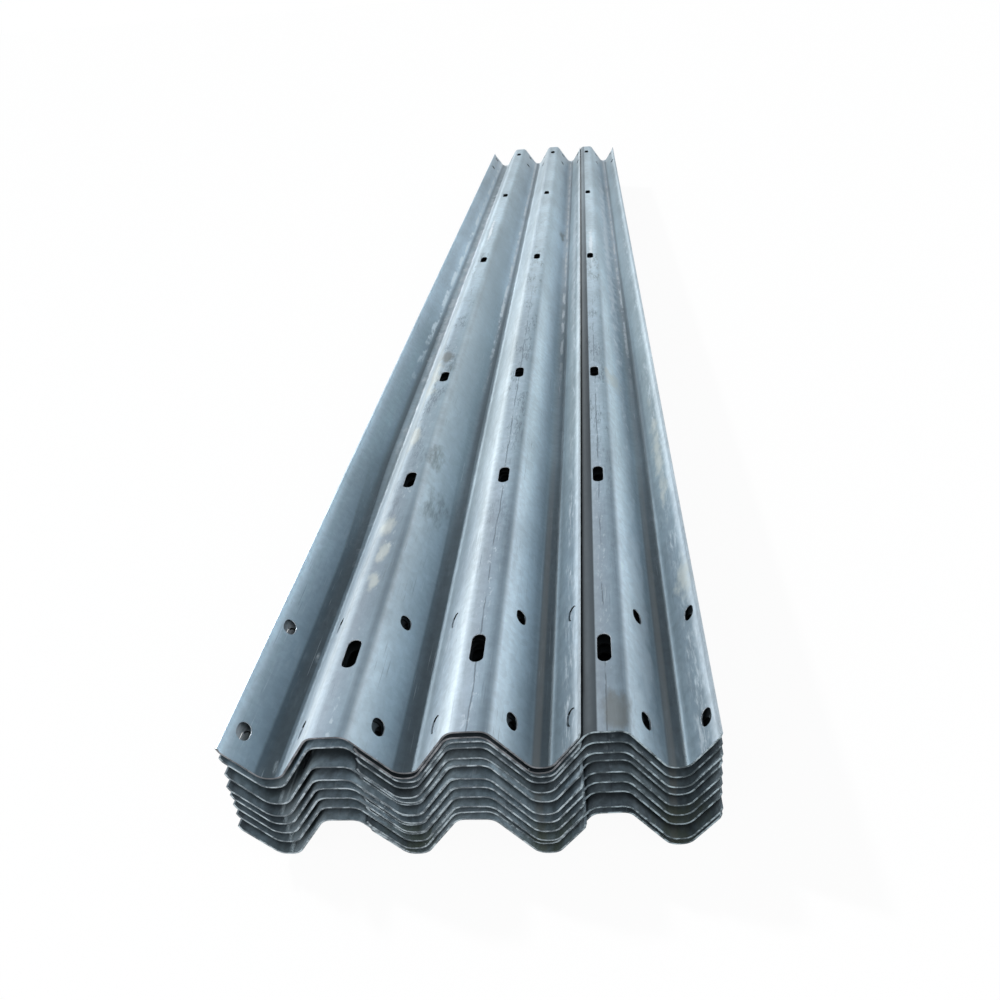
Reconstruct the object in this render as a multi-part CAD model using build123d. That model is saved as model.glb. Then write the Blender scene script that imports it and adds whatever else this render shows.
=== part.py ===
"""A bundle of three-wave guardrail beams, nested back side up in two interleaved columns.

Every beam is one sheet of steel, rolled to three waves, with slots for the post bolts along its crests
and holes for the splice bolts in its flanks at both ends. The beams lie along Y, valleys down. The
columns stand one wave apart, so that each beam lies in the waves of the one below. The origin is at
the middle of the bundle's footprint, on the ground.
"""

import os
from math import asin, atan2, cos, degrees, hypot, radians, sin, tan

from build123d import *

# One beam's section, in millimetres.
wave_pitch = 194
wave_count = 3
beam_depth = 85
sheet = 3
crest_flat = 30
valley_flat = 5
bend_inside = 20
edge_reach = 59  # from the middle of an outer valley to the outside of the lip
lip = 8
lip_lean = 13  # degrees from upright
lip_bend_inside = 8

# Its length, slots and holes.
beam_length = 4320
end_to_slot = 160
slot_length = 60
slot_width = 22
slot_steps = (0, 1, 2, 4, 6, 8)  # in eighths of the length between the end slots
splice_rows = 220  # apart, one row each side of the end slot
splice_length = 30
splice_width = 24
edge_to_splice = 14.5  # across, from the outside of the lip to the middle of an outer hole

# The bundle.
nest_clearance = 0.25

# Its beams from the top down: the column, how far the near end stands out past the top beam's, and how
# far out of square that end is sheared, in degrees.
LEFT, RIGHT = "left", "right"
stack = (
    (LEFT, 0, 0),
    (RIGHT, 2, 0),
    (LEFT, 2, 0),
    (RIGHT, 5, 0),
    (RIGHT, 13, 0),
    (LEFT, 15, 2),
    (RIGHT, 12, 0),
    (LEFT, 23, 2),
    (RIGHT, 18, 0),
    (LEFT, 24, 2),
    (RIGHT, 21, 0),
    (LEFT, 27, 2),
    (RIGHT, 24, 0),
    (LEFT, 30, 2),
    (RIGHT, 36, 0),
    (LEFT, 38, 2),
    (RIGHT, 33, 0),
)

# The section's middle line, worked out: two bends joined by the straight that touches both.
half_sheet = sheet / 2
bend = bend_inside + half_sheet
lip_bend = lip_bend_inside + half_sheet
bend_run = (wave_pitch - crest_flat - valley_flat) / 2
bend_rise = beam_depth - sheet - 2 * bend
flank = (bend_run**2 + bend_rise**2 - (2 * bend) ** 2) ** 0.5
flank_angle = atan2(bend_rise, bend_run) + asin(2 * bend / hypot(bend_run, bend_rise))
lip_angle = radians(90 - lip_lean)
flange = (
    edge_reach
    - half_sheet * sin(lip_angle)
    - valley_flat / 2
    - bend * sin(flank_angle)
    - lip_bend * (sin(lip_angle) - sin(flank_angle))
    - lip * cos(lip_angle)
) / cos(flank_angle)
edge_height = (
    half_sheet
    + bend * (1 - cos(flank_angle))
    + flange * sin(flank_angle)
    + lip_bend * (cos(flank_angle) - cos(lip_angle))
    + lip * sin(lip_angle)
)
half_width = (wave_count - 1) * wave_pitch / 2 + edge_reach - half_sheet * sin(lip_angle)

# How the beams nest. An edge's lip leaves the slope of its flank by lip_stand_off, so it holds the beam
# above up and pushes it sideways, until the flanks on the other side meet.
lip_turn = lip_angle - flank_angle
lip_stand_off = lip_bend * (1 - cos(lip_turn)) + lip * sin(lip_turn) - half_sheet * (1 - cos(lip_turn))
seated = sheet + nest_clearance
rise_across_columns = (2 * seated + lip_stand_off) / (2 * cos(flank_angle))
rise_in_column = (seated + lip_stand_off) / cos(flank_angle)
column_offset = wave_pitch - lip_stand_off / (2 * sin(flank_angle))


def walk(offset):
    """One face of the sheet from the left edge to the right: edges that keep offset from the middle line."""
    start = Vector(-half_width, edge_height)
    turned = -lip_angle
    lip_in = (lip_bend, lip_turn)
    up = (bend, flank_angle)
    down = (bend, -flank_angle)
    wave = [up, valley_flat, up, flank, down, crest_flat, down, flank]
    moves = [lip, lip_in, flange, *wave * (wave_count - 1), up, valley_flat, up, flange, lip_in, lip]
    here = start + Vector(-sin(turned), cos(turned)) * offset
    edges = []
    for move in moves:
        ahead = Vector(cos(turned), sin(turned))
        if isinstance(move, tuple):
            radius, turn = move
            kept = radius - offset if turn > 0 else radius + offset
            edges.append(JernArc(here, ahead, kept, degrees(turn)))
            turned += turn
        else:
            edges.append(Line(here, here + ahead * move))
        here = edges[-1] @ 1
    return edges


def section():
    """The rolled sheet's cross-section, valleys down to the ground."""
    top = walk(half_sheet)
    bottom = walk(-half_sheet)
    ends = [Line(top[0] @ 0, bottom[0] @ 0), Line(top[-1] @ 1, bottom[-1] @ 1)]
    return make_face(top + bottom + ends)


def slots():
    """Cutters for the post-bolt slots, one row of them along each crest."""
    step = (beam_length - 2 * end_to_slot) / slot_steps[-1]
    crest_height = beam_depth - half_sheet
    cutter = extrude(SlotOverall(slot_length, slot_width, rotation=90), sheet, both=True)
    return [
        Pos((crest - wave_count / 2 + 1) * wave_pitch, end_to_slot + place * step, crest_height) * cutter
        for crest in range(wave_count - 1)
        for place in slot_steps
    ]


def hole_spots():
    """Where the splice holes are drilled: across, up, and the sheet's tilt to the right in degrees."""
    bend_across = valley_flat / 2 + bend * sin(flank_angle)
    bend_height = half_sheet + bend * (1 - cos(flank_angle))
    spots = []
    for wave in range(wave_count):
        for side in (-1, 1):
            outer = (wave, side) in ((0, -1), (wave_count - 1, 1))
            from_valley = edge_reach - edge_to_splice if outer else bend_across + flank / 2 * cos(flank_angle)
            across = (wave - (wave_count - 1) / 2) * wave_pitch + side * from_valley
            height = bend_height + (from_valley - bend_across) * tan(flank_angle)
            spots.append((across, height, -side * degrees(flank_angle)))
    return spots


def splice_holes():
    """Cutters for the splice-bolt holes: two rows across all the flanks at each end."""
    cutter = extrude(SlotOverall(splice_length, splice_width, rotation=90), sheet, both=True)
    rows = [end_to_slot + side * splice_rows / 2 for side in (-1, 1)]
    rows += [beam_length - row for row in rows]
    return [
        Pos(across, row, height) * Rot(0, tilt, 0) * cutter
        for across, height, tilt in hole_spots()
        for row in rows
    ]


def uncut_beam(spare):
    """A beam with its slots and holes, spare longer than it should be at the near end."""
    face = Plane.XZ.offset(spare) * section()
    sheet_metal = extrude(face, beam_length + spare, dir=(0, 1, 0))
    return sheet_metal - [*slots(), *splice_holes()]


def sheared(beam, skew):
    """The beam with its near end cut off skew degrees out of square, longer on the right."""
    plane = Plane((0, 0, 0), z_dir=(sin(radians(skew)), cos(radians(skew)), 0))
    return split(beam, bisect_by=plane, keep=Keep.TOP)


def levels():
    """The height of each beam of the stack over the ground, from the top down."""
    heights = [0]
    for upper, lower in zip(stack[-2::-1], stack[:0:-1]):
        heights.append(heights[-1] + (rise_in_column if upper[0] == lower[0] else rise_across_columns))
    return heights[::-1]


def bundle():
    """Every beam in its place, under its node's name."""
    reach = [advance + half_width * tan(radians(skew)) for column, advance, skew in stack]
    near_end = (max(reach) - beam_length) / 2
    beam = uncut_beam(half_width * tan(radians(max(skew for column, advance, skew in stack))) + sheet)
    beams = {}
    for (column, advance, skew), height in zip(stack, levels()):
        across = column_offset / 2 * (-1 if column == LEFT else 1)
        number = 1 + sum(name.startswith(column) for name in beams)
        beams[f"{column}_beam_{number}"] = Pos(across, near_end - advance, height) * sheared(beam, skew)
    return beams


os.makedirs("parts", exist_ok=True)
print("flank angle", round(degrees(flank_angle), 2), "flank", round(flank, 1), "flange", round(flange, 1))
print("rises", round(rise_across_columns, 2), round(rise_in_column, 2), "columns", round(column_offset, 2))
for name, solid in bundle().items():
    export_step(solid, f"parts/{name}.step")
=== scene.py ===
"""Dresses a bundle of nested three-wave guardrail beams as galvanised steel.

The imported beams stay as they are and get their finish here.
Rims, zinc films, zinc burrs, the studio and the camera are added round them.
Lengths are in metres, angles in degrees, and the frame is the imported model's.
"""

import logging
import math
import random
from dataclasses import dataclass, field
from enum import Enum

import bpy
from mathutils import Matrix, Vector


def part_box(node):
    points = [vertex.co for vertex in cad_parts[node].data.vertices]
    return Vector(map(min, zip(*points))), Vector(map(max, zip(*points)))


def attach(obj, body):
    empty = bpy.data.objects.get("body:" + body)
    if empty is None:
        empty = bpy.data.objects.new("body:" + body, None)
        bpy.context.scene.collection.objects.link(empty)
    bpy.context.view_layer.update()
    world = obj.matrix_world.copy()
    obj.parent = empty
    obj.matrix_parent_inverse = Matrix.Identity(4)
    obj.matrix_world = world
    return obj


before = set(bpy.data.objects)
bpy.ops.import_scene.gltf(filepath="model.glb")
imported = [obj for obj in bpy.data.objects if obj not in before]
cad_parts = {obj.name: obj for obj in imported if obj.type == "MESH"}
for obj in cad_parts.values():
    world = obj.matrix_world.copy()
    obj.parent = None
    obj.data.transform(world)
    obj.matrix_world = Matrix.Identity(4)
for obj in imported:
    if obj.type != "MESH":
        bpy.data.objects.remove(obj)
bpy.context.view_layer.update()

LOG = logging.getLogger("guardrail_bundle")
BODY = "root"

Socket = bpy.types.NodeSocket
Tree = bpy.types.NodeTree
Node = bpy.types.Node
Piece = bpy.types.Object
Material = bpy.types.Material
Triple = tuple[float, float, float]
Tone = Triple
Stops = tuple[tuple[float, Tone], ...]


class Facing(Enum):
    """The side of a wave that a slope looks to."""

    LEFT = -1
    RIGHT = 1


class StainKind(Enum):
    """What a mark on the zinc is made of; some kinds also paint light and shade."""

    LIME = "lime"
    # Pale patches: chalky zinc, and painted light on places in shade.
    CHALK_AND_LIGHT = "chalk"
    SOOT = "soot"
    RUST = "rust"
    MOSS = "moss"
    # A grey film, and painted shade on a slope.
    FILM_AND_SHADE = "film"
    # Dull patches, and painted shadow lines in the valleys.
    DULL_AND_SHADE = "dull"


def srgb(red: int, green: int, blue: int) -> Tone:
    """Turns a colour on the usual 0 to 255 scale into linear light.

    Args:
        red: Red, 0 to 255.
        green: Green, 0 to 255.
        blue: Blue, 0 to 255.

    Returns:
        The same colour in linear light, 0 to 1.
    """

    def linear(level: int) -> float:
        """Turns one level into linear light."""
        share = level / 255
        return share / 12.92 if share <= 0.04045 else ((share + 0.055) / 1.055) ** 2.4

    return linear(red), linear(green), linear(blue)


def tone_row(*rows: tuple[float, int, int, int]) -> Stops:
    """Turns rows of place, red, green and blue into the stops of a ramp."""
    return tuple((place, srgb(*levels)) for place, *levels in rows)


def start_material(
    name: str,
) -> tuple[Material, "Graph", Node]:
    """Makes a material to be filled in.

    Args:
        name: Its name.

    Returns:
        The material, its graph and its shader.
    """
    material = bpy.data.materials.new(name)
    material.use_nodes = True
    shader = material.node_tree.nodes["Principled BSDF"]
    return material, Graph(material.node_tree), shader


class Graph:
    """Adds nodes to one shader tree and joins them."""

    def __init__(self, tree: Tree) -> None:
        """Takes the tree that the nodes go in.

        Args:
            tree: A material's, a world's or a group's node tree.
        """
        self.tree = tree

    def add(self, kind: str, **settings: object) -> Node:
        """Adds a node.

        Args:
            kind: The node's type name.
            settings: Properties set on the node.

        Returns:
            The new node.
        """
        node = self.tree.nodes.new(kind)
        for name, value in settings.items():
            setattr(node, name, value)
        return node

    def feed(self, target: Socket, value: object) -> None:
        """Joins a socket to an input, or sets the input's own value.

        Args:
            target: The input.
            value: An output socket, a number, a vector or a colour.
        """
        if isinstance(value, Socket):
            self.tree.links.new(value, target)
        elif target.type == "RGBA":
            target.default_value = (*value, 1.0)
        else:
            target.default_value = value

    def maths(self, operation: str, *values: object) -> Socket:
        """Works out a number.

        Args:
            operation: The Math node's operation.
            values: Its one to three inputs.

        Returns:
            The result's socket.
        """
        node = self.add("ShaderNodeMath", operation=operation)
        for target, value in zip(node.inputs, values):
            self.feed(target, value)
        return node.outputs[0]

    def times(self, first: object, *others: object) -> object:
        """Multiplies numbers.

        Args:
            first: A number or its socket.
            others: More of them.

        Returns:
            The product.
        """
        for other in others:
            first = self.maths("MULTIPLY", first, other)
        return first

    def step(
        self, value: object, low: float, high: float, to: tuple[float, float] = (0, 1)
    ) -> Socket:
        """Turns a number smoothly from one level to another between two limits.

        Args:
            value: The number.
            low: Where the change starts.
            high: Where it ends.
            to: The levels at both ends.

        Returns:
            The result's socket.
        """
        node = self.add("ShaderNodeMapRange", interpolation_type="SMOOTHSTEP")
        for target, given in zip(node.inputs, (value, low, high, *to)):
            self.feed(target, given)
        return node.outputs[0]

    def between(
        self, value: object, start: float, full: float, last: float, end: float
    ) -> Socket:
        """Finds a band: 1 from full to last, and 0 before start and after end.

        Args:
            value: The number that is looked at.
            start: Where the band sets in.
            full: From where it is whole.
            last: Up to where it is whole.
            end: Where it stops.

        Returns:
            The result's socket.
        """
        return self.times(self.step(value, start, full), self.step(value, end, last))

    def mix(
        self, share: object, first: object, second: object, how: str = "MIX"
    ) -> Socket:
        """Mixes two colours.

        Args:
            share: How much of the second one there is.
            first: A colour or its socket.
            second: A colour or its socket.
            how: The Mix node's blend type.

        Returns:
            The mixed colour's socket.
        """
        node = self.add(
            "ShaderNodeMix", data_type="RGBA", blend_type=how, clamp_factor=True
        )
        self.feed(node.inputs[0], share)
        self.feed(node.inputs[6], first)
        self.feed(node.inputs[7], second)
        return node.outputs[2]

    def ramp(self, value: object, stops: Stops, soft: bool = True) -> Socket:
        """Turns a number into a colour along a row of stops.

        Args:
            value: The number, 0 to 1.
            stops: Places and colours, in order.
            soft: Whether the steps between stops are eased.

        Returns:
            The colour's socket.
        """
        node = self.add("ShaderNodeValToRGB")
        band = node.color_ramp
        band.interpolation = "EASE" if soft else "LINEAR"
        while len(band.elements) < len(stops):
            band.elements.new(1.0)
        for element, (place, _) in zip(band.elements, stops):
            element.position = place
        for element, (_, tone) in zip(band.elements, stops):
            element.color = (*tone, 1.0)
        self.feed(node.inputs[0], value)
        return node.outputs[0]

    def place(
        self,
        vector: object,
        shift: Triple = (0, 0, 0),
        turn: Triple = (0, 0, 0),
        scale: Triple = (1, 1, 1),
    ) -> Socket:
        """Shifts, turns and stretches a pattern's coordinates.

        Args:
            vector: The coordinates.
            shift: What is added to them.
            turn: Turns in degrees.
            scale: What they are multiplied by.

        Returns:
            The new coordinates' socket.
        """
        node = self.add("ShaderNodeMapping")
        self.feed(node.inputs[0], vector)
        self.feed(node.inputs[1], shift)
        self.feed(node.inputs[2], tuple(math.radians(angle) for angle in turn))
        self.feed(node.inputs[3], scale)
        return node.outputs[0]

    def noise(
        self,
        vector: object,
        scale: float,
        detail: float = 3.0,
        rough: float = 0.5,
        along: float = 1.0,
    ) -> Socket:
        """Adds cloudy noise.

        Args:
            vector: The coordinates.
            scale: Clouds to the metre.
            detail: Octaves.
            rough: How strong the finer octaves are.
            along: The scale along the beam, as a share: under 1 draws clouds out.

        Returns:
            The noise's number, about 0.5 on average.
        """
        if along != 1.0:
            vector = self.place(vector, scale=(1.0, along, 1.0))
        node = self.add("ShaderNodeTexNoise")
        for name, value in (
            ("Vector", vector),
            ("Scale", scale),
            ("Detail", detail),
            ("Roughness", rough),
        ):
            self.feed(node.inputs[name], value)
        return node.outputs[0]

    def parts(self, vector: object) -> tuple[Socket, ...]:
        """Splits a vector into its three numbers."""
        node = self.add("ShaderNodeSeparateXYZ")
        self.feed(node.inputs[0], vector)
        return tuple(node.outputs)

    def bump(self, height: object, strength: float, distance: float) -> object:
        """Turns heights into a normal.

        Args:
            height: The heights, about 0 to 1.
            strength: How far the normal turns.
            distance: How high 1 stands.

        Returns:
            The normal's socket.
        """
        node = self.add("ShaderNodeBump")
        node.inputs["Strength"].default_value = strength
        node.inputs["Distance"].default_value = distance
        self.feed(node.inputs["Height"], height)
        return node.outputs[0]

    def group(self, tree: Tree, **values: object) -> dict[str, Socket]:
        """Places a node group and feeds it.

        Args:
            tree: The group.
            values: Its inputs by name.

        Returns:
            Its outputs by name.
        """
        node = self.add("ShaderNodeGroup", node_tree=tree)
        for name, value in values.items():
            self.feed(node.inputs[name], value)
        return {output.name: output for output in node.outputs}


class Effect:
    """A shader effect that several finishes share, as one node group."""

    KINDS = {
        "Place": "NodeSocketVector",
        "Middle": "NodeSocketVector",
        "Reach": "NodeSocketVector",
        "Facing": "NodeSocketVector",
        "Colour": "NodeSocketColor",
    }

    def __init__(self, name: str, takes: str, gives: str) -> None:
        """Makes an empty group with named sockets.

        Args:
            name: The group's name.
            takes: Its inputs' names.
            gives: Its outputs' names.
        """
        self.tree = bpy.data.node_groups.new(name, "ShaderNodeTree")
        for direction, labels in (("INPUT", takes), ("OUTPUT", gives)):
            for label in labels.split():
                self.tree.interface.new_socket(
                    name=label,
                    in_out=direction,
                    socket_type=self.KINDS.get(label, "NodeSocketFloat"),
                )
        self.graph = Graph(self.tree)
        source = self.graph.add("NodeGroupInput").outputs
        self.taken = tuple(source[label] for label in takes.split())
        self.given = self.graph.add("NodeGroupOutput").inputs

    def give(self, **values: object) -> Tree:
        """Joins the group's outputs and hands the group over.

        Args:
            values: What each output gives, by name.

        Returns:
            The finished group.
        """
        for name, value in values.items():
            self.graph.feed(self.given[name], value)
        return self.tree


@dataclass(frozen=True)
class WaveProfile:
    """The rolled shape of one beam, back side up, measured across it."""

    pitch: float = 0.194
    depth: float = 0.085
    sheet: float = 0.003
    crest_half: float = 0.015
    valley_half: float = 0.0025
    outer_bend: float = 0.023
    inner_bend: float = 0.020
    slope_angle: float = 55.18

    @property
    def lean(self) -> float:
        """The slopes' angle from level, in radians."""
        return math.radians(self.slope_angle)

    def height(self, across: float) -> float:
        """Gives the height of the upper face above the valleys' underside.

        Args:
            across: Place across the beam from its middle, a valley.

        Returns:
            The height, for places between the two outer valleys.
        """
        from_crest = abs((across % self.pitch) - self.pitch / 2)
        bend_end = self.crest_half + self.outer_bend * math.sin(self.lean)
        slope_end = (
            self.pitch / 2 - self.valley_half - self.inner_bend * math.sin(self.lean)
        )
        if from_crest <= self.crest_half:
            return self.depth
        if from_crest <= bend_end:
            run = from_crest - self.crest_half
            return self.depth - self.outer_bend + math.sqrt(self.outer_bend**2 - run**2)
        if from_crest <= slope_end:
            drop = self.outer_bend * (1 - math.cos(self.lean))
            return self.depth - drop - (from_crest - bend_end) * math.tan(self.lean)
        run = max(self.pitch / 2 - self.valley_half - from_crest, 0.0)
        return self.sheet + self.inner_bend - math.sqrt(self.inner_bend**2 - run**2)


@dataclass(frozen=True)
class Stain:
    """One mark on a beam, placed from above."""

    kind: StainKind
    across: float
    along: float
    width: float
    length: float
    strength: float = 1.0


class Effects:
    """Builds the shared shader effects, each once.

    The three rows of tones run from one valley over the crest to the next: near the
    near end, a quarter of the way along, and beyond the middle. Besides the zinc's own
    tone, they hold painted shade, partly dirt, in and beside the valleys and painted
    highlights on the crest shoulders; the valleys turn paler towards the far end,
    partly as a painted reflection of the bright sky. NEAR_END and FAR_PART tell where
    along the beam one row gives way to the next.
    """

    NEAR_TONES = tone_row(
        (0.000, 106, 120, 128),
        (0.014, 152, 169, 180),
        (0.050, 164, 182, 193),
        (0.100, 172, 189, 201),
        (0.160, 184, 200, 211),
        (0.220, 194, 208, 217),
        (0.280, 202, 215, 222),
        (0.305, 190, 202, 209),
        (0.326, 188, 200, 207),
        (0.342, 172, 185, 194),
        (0.365, 168, 182, 192),
        (0.420, 158, 172, 184),
        (0.480, 148, 165, 178),
        (0.540, 137, 156, 169),
        (0.576, 131, 149, 162),
        (0.598, 150, 168, 181),
        (0.628, 218, 234, 244),
        (0.680, 212, 229, 239),
        (0.720, 192, 210, 221),
        (0.770, 168, 187, 199),
        (0.820, 152, 171, 183),
        (0.864, 142, 160, 171),
        (0.878, 100, 114, 123),
        (0.930, 93, 107, 115),
        (1.000, 98, 111, 118),
    )
    MIDDLE_TONES = tone_row(
        (0.000, 128, 144, 152),
        (0.014, 166, 183, 193),
        (0.050, 192, 208, 216),
        (0.100, 200, 214, 220),
        (0.180, 202, 216, 223),
        (0.260, 198, 211, 217),
        (0.315, 188, 200, 206),
        (0.350, 172, 186, 193),
        (0.390, 164, 180, 191),
        (0.480, 162, 180, 192),
        (0.550, 154, 174, 186),
        (0.590, 158, 178, 190),
        (0.630, 210, 229, 239),
        (0.680, 213, 231, 240),
        (0.730, 198, 217, 228),
        (0.780, 178, 196, 208),
        (0.830, 163, 182, 194),
        (0.880, 148, 168, 179),
        (0.930, 134, 153, 165),
        (0.958, 116, 133, 143),
        (1.000, 104, 119, 128),
    )
    FAR_TONES = tone_row(
        (0.000, 176, 194, 204),
        (0.025, 200, 216, 224),
        (0.070, 202, 217, 225),
        (0.130, 188, 203, 211),
        (0.220, 182, 197, 205),
        (0.310, 172, 187, 195),
        (0.360, 182, 198, 208),
        (0.430, 190, 207, 216),
        (0.510, 194, 212, 222),
        (0.570, 197, 217, 228),
        (0.620, 188, 210, 221),
        (0.720, 193, 214, 226),
        (0.800, 190, 209, 221),
        (0.850, 184, 202, 214),
        (0.900, 198, 216, 228),
        (0.945, 204, 222, 234),
        (0.978, 150, 167, 179),
        (1.000, 170, 188, 198),
    )

    NEAR_END = (-1.20, -1.70)
    FAR_PART = (-0.75, 0.25)

    def __init__(self, profile: WaveProfile) -> None:
        """Builds every group.

        Args:
            profile: The beams' rolled shape.
        """
        self.profile = profile
        self.wave_place = self._wave_place()
        self.wave_painted_light_and_tone = self._wave_painted_light_and_tone()
        self.spangle = self._spangle()
        self.roll_scratches = self._roll_scratches()
        self.scuffs = self._scuffs()
        self.clouds = self._clouds()
        self.spot = self._spot()
        self.cracks = self._cracks()
        self.lime_line = self._lime_line()
        self.cut_edges = self._cut_edges()

    def _wave_place(self) -> Tree:
        """Finds how far a point is across its wave, from 0 at one valley to 1.

        Returns:
            The group.
        """
        effect = Effect("wave_place", "Place", "Across Along Side")
        graph = effect.graph
        side, along, _ = graph.parts(effect.taken[0])
        pitch = self.profile.pitch
        across = graph.maths("DIVIDE", graph.maths("WRAP", side, pitch, 0.0), pitch)
        return effect.give(Across=across, Along=along, Side=side)

    def _wave_painted_light_and_tone(self) -> Tree:
        """Colours the zinc by its place on the wave, with painted shade and painted
        highlights.

        Returns:
            The group.
        """
        effect = Effect("wave_painted_light_and_tone", "Side Along", "Colour Valley Crest Phase")
        graph = effect.graph
        side, along = effect.taken
        near, full = self.NEAR_END
        # drift shifts the painted valley shade across the wave: further for places
        # further right, and by other amounts near the near end.
        drift = graph.maths(
            "MULTIPLY_ADD",
            side,
            graph.step(along, near, full, (0.057, 0.018)),
            graph.step(along, near, full, (0.0025, 0.0075)),
        )
        pitch = self.profile.pitch
        wrapped = graph.maths("WRAP", graph.maths("SUBTRACT", side, drift), pitch, 0.0)
        phase = graph.maths("DIVIDE", wrapped, pitch)
        near_tone, middle_tone, far_tone = (
            graph.ramp(phase, tones, soft=False)
            for tones in (self.NEAR_TONES, self.MIDDLE_TONES, self.FAR_TONES)
        )
        colour = graph.mix(graph.step(along, *self.FAR_PART), middle_tone, far_tone)
        return effect.give(
            Colour=graph.mix(graph.step(along, near, full), colour, near_tone),
            Valley=graph.maths(
                "MAXIMUM", graph.step(phase, 0.03, 0.0), graph.step(phase, 0.86, 0.92)
            ),
            Crest=graph.between(phase, 0.33, 0.37, 0.58, 0.61),
            Phase=phase,
        )

    def _spangle(self) -> Tree:
        """Gives the zinc its crystals, which differ a little in tone and gloss.

        Returns:
            The group.
        """
        effect = Effect("spangle", "Place Size", "Flake")
        graph = effect.graph
        place, size = effect.taken
        cells = graph.add("ShaderNodeTexVoronoi", feature="F1", distance="EUCLIDEAN")
        graph.feed(cells.inputs["Vector"], place)
        graph.feed(cells.inputs["Scale"], graph.maths("DIVIDE", 1.0, size))
        return effect.give(Flake=graph.parts(cells.outputs["Color"])[0])

    def _roll_scratches(self) -> Tree:
        """Draws fine scratches along the beam, in patches.

        Returns:
            The group.
        """
        effect = Effect("roll_scratches", "Place Amount", "Dark Bright")
        graph = effect.graph
        place, amount = effect.taken
        lines = graph.noise(place, 520.0, 2.0, along=0.02)
        patchy = graph.step(graph.noise(place, 22.0, along=0.25), 0.46, 0.62)
        return effect.give(
            Dark=graph.times(graph.step(lines, 0.36, 0.28), patchy, amount),
            Bright=graph.times(graph.step(lines, 0.66, 0.74), patchy, amount),
        )

    def _scuffs(self) -> Tree:
        """Draws slanting pale scuffs where beams were dragged over each other.

        Returns:
            The group.
        """
        effect = Effect("scuffs", "Place Amount", "Mask Streak")
        graph = effect.graph
        place, amount = effect.taken
        slanting = graph.place(place, turn=(0.0, 0.0, 36.0), scale=(1.0, 0.20, 1.0))
        streaks = graph.noise(slanting, 130.0, 6.0, 0.68)
        patchy = graph.step(graph.noise(place, 11.0, 3.0, 0.6), 0.38, 0.62)
        return effect.give(
            Mask=graph.times(graph.step(streaks, 0.44, 0.72), patchy, amount),
            Streak=graph.step(streaks, 0.34, 0.62),
        )

    def _clouds(self) -> Tree:
        """Gives the slow changes of tone along a beam and the fine mottling on them.

        Returns:
            The group.
        """
        effect = Effect("clouds", "Place", "Broad Fine")
        return effect.give(
            Broad=effect.graph.noise(effect.taken[0], 9.0, 3.0, 0.55, along=0.35),
            Fine=effect.graph.noise(effect.taken[0], 90.0, 5.0, 0.62),
        )

    def _spot(self) -> Tree:
        """Makes one ragged patch round a point, seen from above.

        Returns:
            The group.
        """
        effect = Effect("spot", "Place Middle Reach Raggedness", "Mask")
        graph = effect.graph
        place, middle, reach, raggedness = effect.taken
        away = place
        for operation, other in (("SUBTRACT", middle), ("DIVIDE", reach)):
            node = graph.add("ShaderNodeVectorMath", operation=operation)
            graph.feed(node.inputs[0], away)
            graph.feed(node.inputs[1], other)
            away = node.outputs[0]
        length = graph.add("ShaderNodeVectorMath", operation="LENGTH")
        graph.feed(length.inputs[0], away)
        ragged = graph.noise(place, 44.0, 4.0, 0.58, along=0.5)
        distance = graph.maths(
            "MULTIPLY_ADD",
            graph.maths("SUBTRACT", ragged, 0.5),
            raggedness,
            length.outputs["Value"],
        )
        return effect.give(Mask=graph.step(distance, 0.9, 0.2))

    def _cracks(self) -> Tree:
        """Draws the worn crest: dark broken veins, one long crack and pale flecks.

        Returns:
            The group.
        """
        effect = Effect("cracks", "Place Across Amount", "Vein Crack Fleck")
        graph = effect.graph
        place, across, amount = effect.taken
        veins = graph.noise(place, 85.0, 6.0, 0.70, along=0.14)
        ridge = graph.maths("ABSOLUTE", graph.maths("SUBTRACT", veins, 0.5))
        patches = graph.noise(place, 26.0, 3.0, 0.6, along=0.30)
        wobble = graph.noise(place, 16.0, 4.0, 0.6, along=0.8)
        middle = graph.maths("MULTIPLY_ADD", wobble, 0.05, 0.48)
        aside = graph.maths("ABSOLUTE", graph.maths("SUBTRACT", across, middle))
        flecks = graph.noise(place, 190.0, 3.0, 0.6, along=0.35)
        vein = graph.times(
            graph.step(ridge, 0.035, 0.008), graph.step(patches, 0.48, 0.60)
        )
        crack = graph.times(
            graph.step(aside, 0.008, 0.003), graph.step(patches, 0.40, 0.50)
        )
        fleck = graph.times(
            graph.step(flecks, 0.56, 0.66),
            graph.step(aside, 0.07, 0.02),
            graph.step(patches, 0.58, 0.46),
        )
        return effect.give(
            Vein=graph.times(vein, amount),
            Crack=graph.times(crack, amount),
            Fleck=graph.times(fleck, amount),
        )

    def _lime_line(self) -> Tree:
        """Draws the ragged pale line that dried water leaves beside each valley.

        Returns:
            The group.
        """
        effect = Effect("lime_line", "Place Phase Along", "Mask")
        graph = effect.graph
        place, phase, along = effect.taken
        ragged = graph.noise(place, 40.0, 5.0, 0.65, along=0.30)
        drift = graph.maths("MULTIPLY_ADD", ragged, 0.07, phase)
        line = graph.between(drift, 0.940, 0.955, 0.978, 0.995)
        broken = graph.step(ragged, 0.42, 0.56)
        far = graph.step(along, -1.1, -0.2)
        return effect.give(Mask=graph.times(line, broken, far))

    def _cut_edges(self) -> Tree:
        """Finds the sheared ends, where the sheet's own thickness shows.

        Returns:
            The group.
        """
        effect = Effect("cut_edges", "Facing Place Inward", "End Wall Bright")
        graph = effect.graph
        facing, place, inward = effect.taken
        turned = graph.maths("ABSOLUTE", graph.parts(facing)[1])
        square = graph.step(turned, 0.55, 0.80)
        outer = graph.maths(
            "MAXIMUM", graph.step(inward, 0.015, 0.010), graph.step(inward, 4.29, 4.295)
        )
        worn = graph.noise(place, 52.0, 6.0, 0.74)
        return effect.give(
            End=graph.times(square, outer),
            Wall=graph.times(square, graph.maths("SUBTRACT", 1.0, outer)),
            Bright=graph.step(worn, 0.42, 0.60),
        )


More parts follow.
